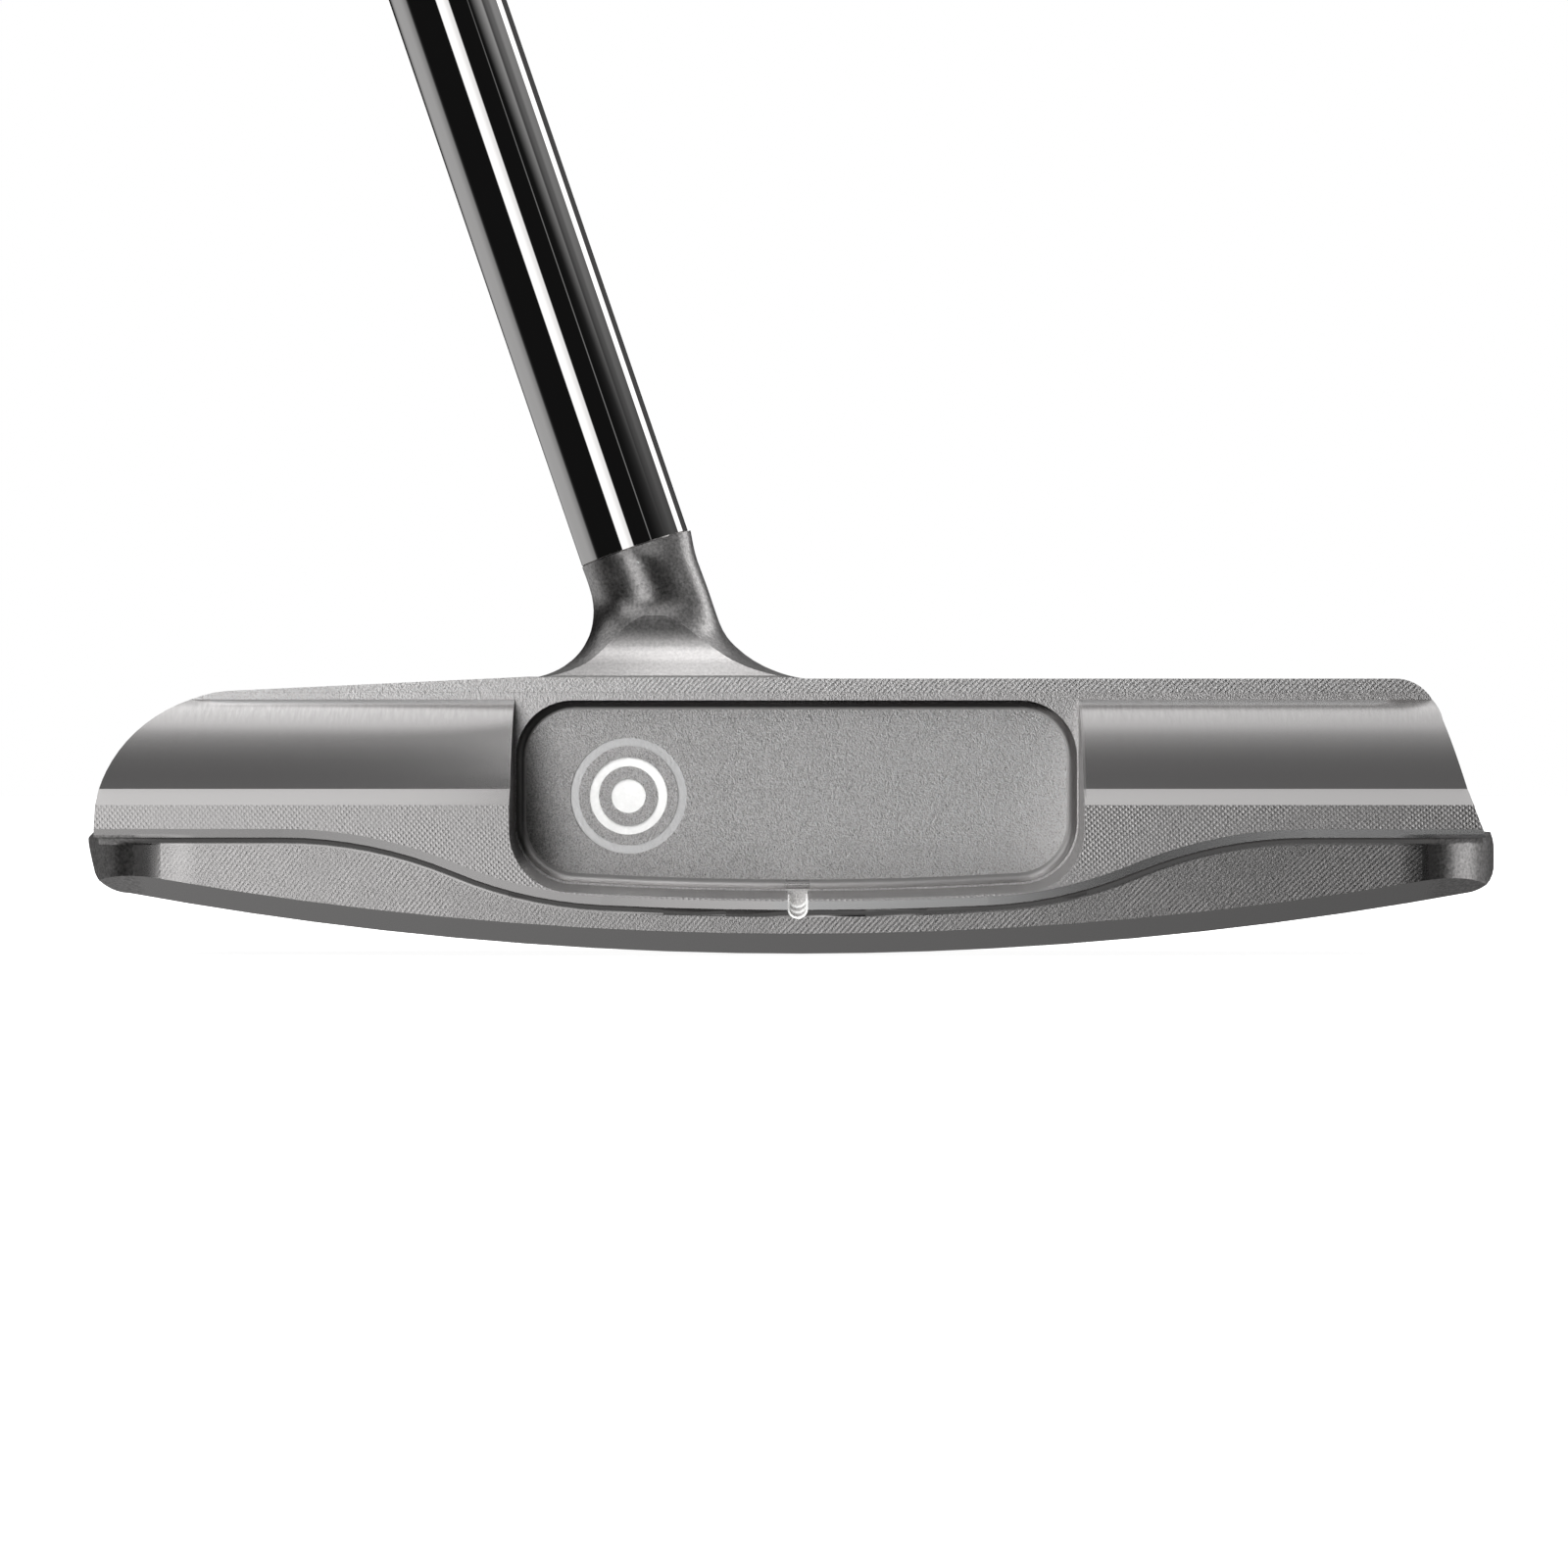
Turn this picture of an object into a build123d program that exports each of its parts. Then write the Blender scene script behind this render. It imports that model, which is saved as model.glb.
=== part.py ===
"""Centre-shafted blade putter, right-handed, all sizes in millimetres.

Frame: +X points to the toe, +Z up, the face looks along +Y and the back along -Y.
The origin is the lowest point of the sole, below the sight line. The shaft axis
lies in the XZ plane and leans towards the heel.
"""
from build123d import *
from math import cos, radians, sin, sqrt, tan
import os

os.makedirs("parts", exist_ok=True)

# ---- driving dimensions: head -------------------------------------------------
SOLE_RADIUS = 305.0          # the sole's rocker, heel to toe
LOFT = 3.0                   # degrees
FACE_AT_SOLE = 6.6           # y of the face plane at z = 0; it clears the front of the neck
FRONT_STOCK = 9.0            # blank in front of the axis, before the face is cut
BAND_BACK = 7.8              # rear plane of the thin top band and window floor
SHOULDER_BACK = 16.6         # foot of the rounded shoulder
PAD_BACK = 18.6              # rear plane of the raised back pad
FACET_BACK = 17.6            # rear plane of the body below the pad
TOP_TOE = 22.68              # level topline, neck to toe
TOP_NECK = 22.84             # topline at the heel side of the neck
NECK_HEEL_X = -22.3
BAND_BOTTOM = 20.95
SHOULDER_FOOT = 13.53
SHOULDER_BULGE = 1.1         # sagitta of the shoulder's arc
LEDGE_BOTTOM = 12.22
BODY_SPLIT = 10.0            # level where the wider lower body starts
CORNER_PLAN_RADIUS = 6.6     # heel and toe corners of the lower body, in plan
SOLE_BEVELS = [(-FACET_BACK, 4.2, 1.75), (FACE_AT_SOLE, -0.9, 0.7)]   # y, depth, height
BEVEL_OVERRUN = 0.8          # how far each bevel cut runs past the stock

# outline of the lower body in the rear view, (x, z); a round is a point its arc passes
SOLE_HEEL_X = -54.9
SOLE_TOE_X = 55.2
TOE_ROUND = (56.8, 6.05)
TOE_NOSE = (57.4, 7.95)
TOE_NOSE_ROUND = (57.27, 8.95)
TOE_SHOULDER_X = 56.85
HEEL_SHOULDER_X = -57.7
HEEL_NOSE = (-58.45, 9.45)
HEEL_SIDE = (-57.6, 6.7)
HEEL_ROUND = (-56.8, 5.66)
# and of the upper body
TOE_FOOT_X = 55.95
TOE_WALL = (55.05, 11.85)
TOE_BEND = (53.2, 19.2)
TOE_TOP_ROUND = (52.42, 21.35)
TOE_TOP_X = 49.9
HEEL_TOP = (-47.4, 21.66)
HEEL_TOP_ROUND = (-53.9, 18.72)
HEEL_BEND = (-57.0, 13.5)
HEEL_WALL = (-57.2, 10.4)

# raised pad: its lower edge is an arc that sweeps up to the heel and the toe
PAD_LOW = 4.40               # lower edge at x = 0, on the pad's rear plane
PAD_ARC_RADIUS = 320.0
PAD_ARC_HEEL = -16.0         # where the middle arc ends
PAD_ARC_TOE = 15.5
SWEEP_SLOPE = 22.6           # steepest slope of the sweep, degrees
SWEEP_IN_RADIUS = 35.0
SWEEP_OUT_RADIUS = 37.0
PAD_BEVEL_HEIGHT = 0.70
PAD_BEVEL_DEPTH = 0.12
PAD_FOOT_RADIUS = 0.62
PAD_FOOT_LEVEL = 3.2         # the foot's edge lies above this level
PAD_FOOT_SPAN = 50.0         # and inside this distance from the middle

# window and pocket
WINDOW_HEEL = -23.47
WINDOW_TOE = 23.33
WINDOW_FLOOR_FRONT = 5.06    # floor of the window at the band plane, x = 0
WINDOW_FLOOR_DROP = 0.50     # how far it falls on its way back to the pad plane
WINDOW_FLOOR_RADIUS = 312.0
WINDOW_CORNER = 5.0
WINDOW_TOP = 26.0
POCKET_INSET = 0.10
POCKET_TOP = 20.88
POCKET_LOW = 5.22
POCKET_DEPTH = 2.5
POCKET_TOP_CORNER = 4.7
POCKET_FILLET = 0.75

# sight line: a round-bottomed slot across the flange, cut in three steps
SIGHT_HALF_WIDTH = 0.83
SIGHT_TOP = 6.2
# distance behind the axis where each step starts and ends, and its floor
SIGHT_STEPS = [(BAND_BACK, 12.2, 3.72), (12.2, 15.6, 3.34), (15.6, 17.75, 2.96)]
SIGHT_EXIT = PAD_BACK + 1
PAINT = 0.14
PAINT_SHORT = 0.05           # the paint stops this far under the flange

# plain ring-and-dot mark in the pocket floor
MARK_X = -14.1
MARK_Z = 12.95
MARK_DEPTH = 0.35
MARK_GROOVE = (4.85, 4.15)   # outer and inner radius of the bare groove
MARK_RING = (3.25, 2.45)
MARK_DOT = 1.45
MARK_PAINT = 0.22

# ---- driving dimensions: neck, shaft and grip ---------------------------------
LEAN = 18.87                 # degrees from vertical
AXIS_AT_SOLE = -2.13         # x of the shaft axis at z = 0
NECK_RADIUS = 4.7
JOINT_Z = 33.7               # top of the neck, measured on the axis
FLARE_SECTIONS = [0, 0.12, 0.45, 1.0, 1.8, 2.9, 4.2, 5.8, 8.2, 11.0, 14.0]   # above the topline
FLARE_HEEL = (8.0, 9.2)      # height and reach of the flare on each side
FLARE_TOE = (5.0, 7.1)
FLARE_BACK = (6.5, 15.0)
COVE_RADIUS = 4.2            # the cove behind the neck: a hollow arc above a ramp
COVE_Y = -9.08
COVE_Z = 27.6
COVE_RAMP = 45.0             # degrees
POST_RADIUS = 3.95
POST_LENGTH = 32.0
BOND = 0.10
CLUB_LENGTH = 864.0          # 34 inches, sole to butt along the axis
SHAFT_WALL = 0.65
TIP_PARALLEL = 190.0
BUTT_RADIUS = 7.37           # 0.580 inch butt
TAPE = 0.25
GRIP_LENGTH = 267.0
FLAT_SHARE = 0.62            # width of the flat front, as a share of the section's
# distance below the butt, half width, flat front and round back from the axis
GRIP_STATIONS = [
    (0.0, 12.6, 10.6, 16.2), (28.0, 12.8, 10.7, 17.2), (80.0, 11.9, 10.4, 13.6),
    (150.0, 10.7, 9.9, 11.8), (220.0, 9.5, 9.3, 10.2), (267.0, 8.6, 8.7, 8.9)]
CAP_THICKNESS = 3.2
CAP_ROUND = 1.2
VENT_RADIUS = 2.0

# ---- frames -------------------------------------------------------------------
lean = radians(LEAN)
axis_dir = Vector(-sin(lean), 0, cos(lean))
across_dir = Vector(cos(lean), 0, sin(lean))
joint = Vector(AXIS_AT_SOLE - JOINT_Z * tan(lean), 0, JOINT_Z)
joint_from_sole = JOINT_Z / cos(lean)
shaft_length = CLUB_LENGTH - joint_from_sole - CAP_THICKNESS
shaft_axis = Axis(joint, axis_dir)
shaft_side = Plane(origin=joint, x_dir=across_dir, z_dir=(0, -1, 0))
joint_plane = Plane(origin=joint, x_dir=across_dir, z_dir=axis_dir)
face_normal = Vector(0, cos(radians(LOFT)), sin(radians(LOFT)))
face_plane = Plane(origin=(0, FACE_AT_SOLE, 0), x_dir=(1, 0, 0), z_dir=face_normal)
rocker_axis = Axis((0, 0, SOLE_RADIUS), (0, 1, 0))
HALF_SPAN = 70.0             # longer than half the head, for through cuts


def rise(x, radius):
    """Height of a circle of this radius above its lowest point, at x."""
    return radius - sqrt(radius ** 2 - x ** 2)


def flare(height, size):
    """Reach of the concave flare at a height above the topline."""
    top, reach = size
    if height >= top:
        return 0.0
    return reach * (1 - sqrt(1 - ((top - height) / top) ** 2))


def grip_profile(half_width, flat, belly):
    """Pistol grip section: a flat front, towards local +X, and a round back."""
    edge = FLAT_SHARE * half_width
    with BuildSketch() as profile:
        with BuildLine():
            Line((flat, -edge), (flat, edge))
            Spline((flat, edge), (0, half_width), (-belly, 0), (0, -half_width), (flat, -edge))
        make_face()
    return profile.sketch


def flange_level(back):
    """Height of the window's floor, at x = 0, this far behind the axis."""
    run = (back - BAND_BACK) / (PAD_BACK - BAND_BACK)
    return WINDOW_FLOOR_FRONT - WINDOW_FLOOR_DROP * run


def window_profile(level):
    """Open-topped window: straight sides and a floor that follows the sole."""
    heel_foot = (WINDOW_HEEL, level + rise(WINDOW_HEEL, WINDOW_FLOOR_RADIUS))
    toe_foot = (WINDOW_TOE, level + rise(WINDOW_TOE, WINDOW_FLOOR_RADIUS))
    with BuildSketch() as profile:
        with BuildLine():
            ThreePointArc(heel_foot, (0, level), toe_foot)
            Line(toe_foot, (WINDOW_TOE, WINDOW_TOP))
            Line((WINDOW_TOE, WINDOW_TOP), (WINDOW_HEEL, WINDOW_TOP))
            Line((WINDOW_HEEL, WINDOW_TOP), heel_foot)
        make_face()
        feet = profile.vertices().filter_by_position(Axis.Y, 0, BAND_BACK)
        fillet(feet, radius=WINDOW_CORNER)
    return profile.sketch


def pocket_profile():
    """Closed pocket outline just inside the window's sides."""
    heel = WINDOW_HEEL + POCKET_INSET
    toe = WINDOW_TOE - POCKET_INSET
    heel_foot = (heel, POCKET_LOW + rise(heel, WINDOW_FLOOR_RADIUS))
    toe_foot = (toe, POCKET_LOW + rise(toe, WINDOW_FLOOR_RADIUS))
    with BuildSketch() as profile:
        with BuildLine():
            ThreePointArc(heel_foot, (0, POCKET_LOW), toe_foot)
            Line(toe_foot, (toe, POCKET_TOP))
            Line((toe, POCKET_TOP), (heel, POCKET_TOP))
            Line((heel, POCKET_TOP), heel_foot)
        make_face()
        feet = profile.vertices().filter_by_position(Axis.Y, 0, BAND_BACK)
        fillet(feet, radius=WINDOW_CORNER)
        corners = profile.vertices().filter_by_position(Axis.Y, POCKET_TOP - 0.1, WINDOW_TOP)
        fillet(corners, radius=POCKET_TOP_CORNER)
    return profile.sketch


def slot_profile(half_width, floor, top):
    """U-shaped section of the sight line."""
    shoulder = floor + half_width
    with BuildSketch() as profile:
        with BuildLine():
            ThreePointArc((-half_width, shoulder), (0, floor), (half_width, shoulder))
            Line((half_width, shoulder), (half_width, top))
            Line((half_width, top), (-half_width, top))
            Line((-half_width, top), (-half_width, shoulder))
        make_face()
    return profile.sketch


# ---- head: one milled billet, with the neck and the shaft post ----------------
sole_heel = (SOLE_HEEL_X, rise(SOLE_HEEL_X, SOLE_RADIUS))
sole_toe = (SOLE_TOE_X, rise(SOLE_TOE_X, SOLE_RADIUS))
toe_shoulder = (TOE_SHOULDER_X, BODY_SPLIT)
heel_shoulder = (HEEL_SHOULDER_X, BODY_SPLIT)
toe_top = (TOE_TOP_X, TOP_TOE)

with BuildPart() as head:
    # lower body: sole outline, with the corners rounded in plan
    with BuildSketch(Plane.XZ.offset(FACET_BACK)):
        with BuildLine():
            ThreePointArc(sole_heel, (0, 0), sole_toe)
            ThreePointArc(sole_toe, TOE_ROUND, TOE_NOSE)
            ThreePointArc(TOE_NOSE, TOE_NOSE_ROUND, toe_shoulder)
            Line(toe_shoulder, heel_shoulder)
            Line(heel_shoulder, HEEL_NOSE)
            Line(HEEL_NOSE, HEEL_SIDE)
            ThreePointArc(HEEL_SIDE, HEEL_ROUND, sole_heel)
        make_face()
    extrude(amount=-(FACET_BACK + FRONT_STOCK))
    with BuildSketch(Plane.XY):
        with BuildLine():
            Polyline(
                (HEEL_NOSE[0], -FACET_BACK), (TOE_NOSE[0], -FACET_BACK),
                (TOE_NOSE[0], FRONT_STOCK), (HEEL_NOSE[0], FRONT_STOCK), close=True)
        plan = make_face()
        fillet(plan.vertices().group_by(Axis.Y)[0], radius=CORNER_PLAN_RADIUS)
    extrude(amount=2 * BODY_SPLIT, mode=Mode.INTERSECT)
    # bevels along the sole's rear and leading edges follow the rocker
    for edge_y, depth, height in SOLE_BEVELS:
        reach = 1 + BEVEL_OVERRUN / height
        outer = (edge_y - depth * (reach - 1), height * reach)
        inner = (edge_y + depth * reach, -height * (reach - 1))
        with BuildSketch(Plane.YZ):
            with BuildLine():
                Polyline(outer, inner, (outer[0], inner[1]), close=True)
            make_face()
        revolve(axis=rocker_axis, mode=Mode.SUBTRACT)

    # upper body and raised pad, down to the sweeping lower edge
    slope = SWEEP_SLOPE
    with BuildSketch(Plane.XZ.offset(PAD_BACK)):
        low = PAD_LOW - PAD_BEVEL_HEIGHT
        with BuildLine():
            toe_start = (PAD_ARC_TOE, low + rise(PAD_ARC_TOE, PAD_ARC_RADIUS))
            heel_start = (PAD_ARC_HEEL, low + rise(PAD_ARC_HEEL, PAD_ARC_RADIUS))
            middle = ThreePointArc(heel_start, (0, low), toe_start)
            toe_dir = middle % 1
            heel_dir = (middle % 0) * -1
            toe_angle = toe_dir.get_angle(Vector(1, 0, 0))
            heel_angle = heel_dir.get_angle(Vector(-1, 0, 0))
            in_radius = SWEEP_IN_RADIUS + PAD_BEVEL_HEIGHT
            out_radius = SWEEP_OUT_RADIUS - PAD_BEVEL_HEIGHT
            toe_in = JernArc(toe_start, toe_dir, in_radius, slope - toe_angle)
            toe_out = JernArc(toe_in @ 1, toe_in % 1, out_radius, -slope)
            heel_in = JernArc(heel_start, heel_dir, in_radius, heel_angle - slope)
            heel_out = JernArc(heel_in @ 1, heel_in % 1, out_radius, slope)
            toe_level = (toe_out @ 1).Y
            heel_level = (heel_out @ 1).Y
            Line(toe_out @ 1, (TOE_FOOT_X, toe_level))
            Line((TOE_FOOT_X, toe_level), TOE_WALL)
            Line(TOE_WALL, TOE_BEND)
            ThreePointArc(TOE_BEND, TOE_TOP_ROUND, toe_top)
            Line(toe_top, (0, TOP_TOE))
            Line((0, TOP_TOE), (NECK_HEEL_X, TOP_NECK))
            Line((NECK_HEEL_X, TOP_NECK), HEEL_TOP)
            ThreePointArc(HEEL_TOP, HEEL_TOP_ROUND, HEEL_BEND)
            Line(HEEL_BEND, HEEL_WALL)
            Line(HEEL_WALL, (HEEL_WALL[0], heel_level))
            Line((HEEL_WALL[0], heel_level), heel_out @ 1)
        make_face()
    extrude(amount=-(PAD_BACK + FRONT_STOCK))

    # neck: flared oval sections on the leaning axis, then the round neck
    for height in FLARE_SECTIONS:
        level = TOP_TOE + height
        axis_x = AXIS_AT_SOLE - level * tan(lean)
        half_width = NECK_RADIUS / cos(lean)
        low_x = axis_x - half_width - flare(height, FLARE_HEEL)
        high_x = axis_x + half_width + flare(height, FLARE_TOE)
        with BuildSketch(Plane.XY.offset(level)):
            with Locations(((low_x + high_x) / 2, 0)):
                Ellipse((high_x - low_x) / 2, NECK_RADIUS + flare(height, FLARE_BACK))
    loft()
    with BuildSketch(joint_plane):
        Circle(3 * NECK_RADIUS)
    extrude(amount=3 * NECK_RADIUS, mode=Mode.SUBTRACT)
    with BuildSketch(joint_plane.offset(-1)):
        Circle(POST_RADIUS)
    extrude(amount=POST_LENGTH + 1)

    # stock removed from the back: top band, shoulder, ledge and pad plane, with
    # the horizontal cove that trims the back of the neck
    rear = -PAD_BACK - FRONT_STOCK
    ramp = radians(COVE_RAMP)
    ramp_top = (COVE_Y + COVE_RADIUS * cos(ramp), COVE_Z - COVE_RADIUS * sin(ramp))
    ramp_foot = (-BAND_BACK, ramp_top[1] - (ramp_top[0] + BAND_BACK) / tan(ramp))
    cove_top = (COVE_Y, COVE_Z + COVE_RADIUS)
    with BuildSketch(Plane.YZ.offset(-HALF_SPAN)):
        with BuildLine():
            Line((rear, 0), (-PAD_BACK, 0))
            Line((-PAD_BACK, 0), (-PAD_BACK, LEDGE_BOTTOM))
            Line((-PAD_BACK, LEDGE_BOTTOM), (-SHOULDER_BACK, SHOULDER_FOOT))
            SagittaArc((-SHOULDER_BACK, SHOULDER_FOOT), (-BAND_BACK, BAND_BOTTOM), SHOULDER_BULGE)
            Line((-BAND_BACK, BAND_BOTTOM), ramp_foot)
            Line(ramp_foot, ramp_top)
            ThreePointArc(ramp_top, (COVE_Y + COVE_RADIUS, COVE_Z), cove_top)
            Line(cove_top, (rear, cove_top[1]))
            Line((rear, cove_top[1]), (rear, 0))
        make_face()
    extrude(amount=2 * HALF_SPAN, mode=Mode.SUBTRACT)

    # face, at its loft
    with BuildSketch(face_plane):
        Rectangle(2 * HALF_SPAN, HALF_SPAN)
    extrude(amount=HALF_SPAN, mode=Mode.SUBTRACT)

    # bevel and foot of the raised pad's lower edge
    pad_face = head.faces().sort_by(Axis.Y)[0]
    pad_edges = pad_face.edges().filter_by(
        lambda edge: edge.center().Z < BODY_SPLIT and abs(edge.center().X) < TOE_FOOT_X)
    chamfer(pad_edges, length=PAD_BEVEL_HEIGHT, length2=PAD_BEVEL_DEPTH, reference=pad_face)
    foot_edges = head.edges().filter_by_position(
        Axis.Y, -FACET_BACK - 0.01, -FACET_BACK + 0.01).filter_by(
        lambda edge: edge.center().Z > PAD_FOOT_LEVEL and abs(edge.center().X) < PAD_FOOT_SPAN)
    fillet(foot_edges, radius=PAD_FOOT_RADIUS)

    # window down to the band plane, with a floor that falls towards the back
    for back in (BAND_BACK, SIGHT_EXIT):
        with BuildSketch(Plane.XZ.offset(back)):
            add(window_profile(flange_level(back)))
    loft(ruled=True, mode=Mode.SUBTRACT)

    # pocket in the window's floor, with a filleted foot
    with BuildSketch(Plane.XZ.offset(BAND_BACK)):
        add(pocket_profile())
    extrude(amount=-POCKET_DEPTH, mode=Mode.SUBTRACT)
    floor_y = POCKET_DEPTH - BAND_BACK
    floor_edges = head.edges().filter_by_position(Axis.Y, floor_y - 0.01, floor_y + 0.01)
    fillet(floor_edges, radius=POCKET_FILLET)

    # sight line and the plain mark
    for start, _, floor in SIGHT_STEPS:
        with BuildSketch(Plane.XZ.offset(start)):
            add(slot_profile(SIGHT_HALF_WIDTH, floor, SIGHT_TOP))
        extrude(amount=SIGHT_EXIT - start, mode=Mode.SUBTRACT)
    with BuildSketch(Plane.XZ.offset(-floor_y)):
        with Locations((MARK_X, MARK_Z)):
            for outer, inner in (MARK_GROOVE, MARK_RING):
                Circle(outer)
                Circle(inner, mode=Mode.SUBTRACT)
            Circle(MARK_DOT)
    extrude(amount=-MARK_DEPTH, mode=Mode.SUBTRACT)
head.part.label = "head"
export_step(head.part, "parts/head.step")

# ---- shaft and the adhesive that holds it on the post -------------------------
with BuildPart() as shaft_bond:
    with BuildSketch(joint_plane):
        Circle(POST_RADIUS + BOND)
        Circle(POST_RADIUS, mode=Mode.SUBTRACT)
    extrude(amount=POST_LENGTH)
shaft_bond.part.label = "shaft_bond"
export_step(shaft_bond.part, "parts/shaft_bond.step")

with BuildPart() as shaft:
    with BuildSketch(shaft_side):
        with BuildLine():
            Polyline(
                (NECK_RADIUS - SHAFT_WALL, 0), (NECK_RADIUS, 0), (NECK_RADIUS, TIP_PARALLEL),
                (BUTT_RADIUS, shaft_length), (BUTT_RADIUS - SHAFT_WALL, shaft_length),
                (NECK_RADIUS - SHAFT_WALL, TIP_PARALLEL), close=True)
        make_face()
    revolve(axis=shaft_axis)
shaft.part.label = "shaft"
export_step(shaft.part, "parts/shaft.step")

# ---- grip: tape, rubber sleeve and butt cap -----------------------------------
taper = (BUTT_RADIUS - NECK_RADIUS) / (shaft_length - TIP_PARALLEL)
grip_start = shaft_length - GRIP_LENGTH
start_radius = BUTT_RADIUS - taper * GRIP_LENGTH

with BuildPart() as grip_tape:
    with BuildSketch(shaft_side):
        with BuildLine():
            Polyline(
                (start_radius, grip_start), (start_radius + TAPE, grip_start),
                (BUTT_RADIUS + TAPE, shaft_length), (BUTT_RADIUS, shaft_length), close=True)
        make_face()
    revolve(axis=shaft_axis)
grip_tape.part.label = "grip_tape"
export_step(grip_tape.part, "parts/grip_tape.step")

with BuildPart() as grip:
    for below_butt, half_width, flat, belly in GRIP_STATIONS:
        with BuildSketch(joint_plane.offset(shaft_length - below_butt)):
            add(grip_profile(half_width, flat, belly))
    loft()
    with BuildSketch(shaft_side):
        with BuildLine():
            Polyline(
                (0, grip_start), (start_radius + TAPE, grip_start),
                (BUTT_RADIUS + TAPE, shaft_length), (0, shaft_length), close=True)
        make_face()
    revolve(axis=shaft_axis, mode=Mode.SUBTRACT)
grip.part.label = "grip"
export_step(grip.part, "parts/grip.step")

with BuildPart() as grip_cap:
    with BuildSketch(joint_plane.offset(shaft_length)):
        add(grip_profile(*GRIP_STATIONS[0][1:]))
    extrude(amount=CAP_THICKNESS)
    top = grip_cap.faces().sort_by(shaft_axis)[-1]
    fillet(top.edges(), radius=CAP_ROUND)
    with BuildSketch(joint_plane.offset(shaft_length)):
        Circle(VENT_RADIUS)
    extrude(amount=CAP_THICKNESS, mode=Mode.SUBTRACT)
grip_cap.part.label = "grip_cap"
export_step(grip_cap.part, "parts/grip_cap.step")

# ---- paint fills --------------------------------------------------------------
with BuildPart() as sight_line_paint:
    for start, end, floor in SIGHT_STEPS:
        paint_top = flange_level(end) - PAINT_SHORT
        with BuildSketch(Plane.XZ.offset(start)):
            add(slot_profile(SIGHT_HALF_WIDTH, floor, paint_top))
            add(slot_profile(SIGHT_HALF_WIDTH - PAINT, floor + PAINT, SIGHT_TOP), mode=Mode.SUBTRACT)
        extrude(amount=end - start)
sight_line_paint.part.label = "sight_line_paint"
export_step(sight_line_paint.part, "parts/sight_line_paint.step")

with BuildPart() as mark_paint:
    with BuildSketch(Plane.XZ.offset(-floor_y - MARK_DEPTH)):
        with Locations((MARK_X, MARK_Z)):
            Circle(MARK_RING[0])
            Circle(MARK_RING[1], mode=Mode.SUBTRACT)
            Circle(MARK_DOT)
    extrude(amount=MARK_PAINT)
mark_paint.part.label = "mark_paint"
export_step(mark_paint.part, "parts/mark_paint.step")
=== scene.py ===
"""Looks of the blade putter: materials, grip and shaft meshes, light and camera. Metres."""
from math import cos, hypot, pi, radians, sin

import bpy
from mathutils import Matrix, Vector


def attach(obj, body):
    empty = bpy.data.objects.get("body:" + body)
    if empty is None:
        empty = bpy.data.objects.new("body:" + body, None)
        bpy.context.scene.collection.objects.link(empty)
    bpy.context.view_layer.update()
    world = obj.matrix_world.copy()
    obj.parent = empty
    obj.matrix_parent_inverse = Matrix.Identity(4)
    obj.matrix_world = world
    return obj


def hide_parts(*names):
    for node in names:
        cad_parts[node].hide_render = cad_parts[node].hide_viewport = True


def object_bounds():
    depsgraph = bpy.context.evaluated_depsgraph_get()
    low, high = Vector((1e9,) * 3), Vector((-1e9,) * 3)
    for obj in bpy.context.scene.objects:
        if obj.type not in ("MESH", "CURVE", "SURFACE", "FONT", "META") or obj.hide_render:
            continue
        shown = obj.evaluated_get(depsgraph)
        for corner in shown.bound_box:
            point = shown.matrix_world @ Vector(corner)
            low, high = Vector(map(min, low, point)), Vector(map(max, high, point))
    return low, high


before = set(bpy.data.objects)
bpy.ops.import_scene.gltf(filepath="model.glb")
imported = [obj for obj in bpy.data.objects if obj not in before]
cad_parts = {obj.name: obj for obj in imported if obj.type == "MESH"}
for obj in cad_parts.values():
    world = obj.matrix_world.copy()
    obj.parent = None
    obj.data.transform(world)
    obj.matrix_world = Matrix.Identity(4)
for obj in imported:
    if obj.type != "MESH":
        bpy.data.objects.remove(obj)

cad_box = [list(corner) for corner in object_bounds()]
MM = 0.001

# ---- places taken over from the CAD model --------------------------------------------
LEAN = radians(18.87)
AXIS_X = -2.13 * MM                # shaft axis at the sole
JOINT_Z = 33.7 * MM
AXIS = Vector((-sin(LEAN), 0, cos(LEAN)))
ACROSS = Vector((cos(LEAN), 0, sin(LEAN)))
JOINT = Vector((AXIS_X - JOINT_Z * sin(LEAN) / cos(LEAN), 0, JOINT_Z))


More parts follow.
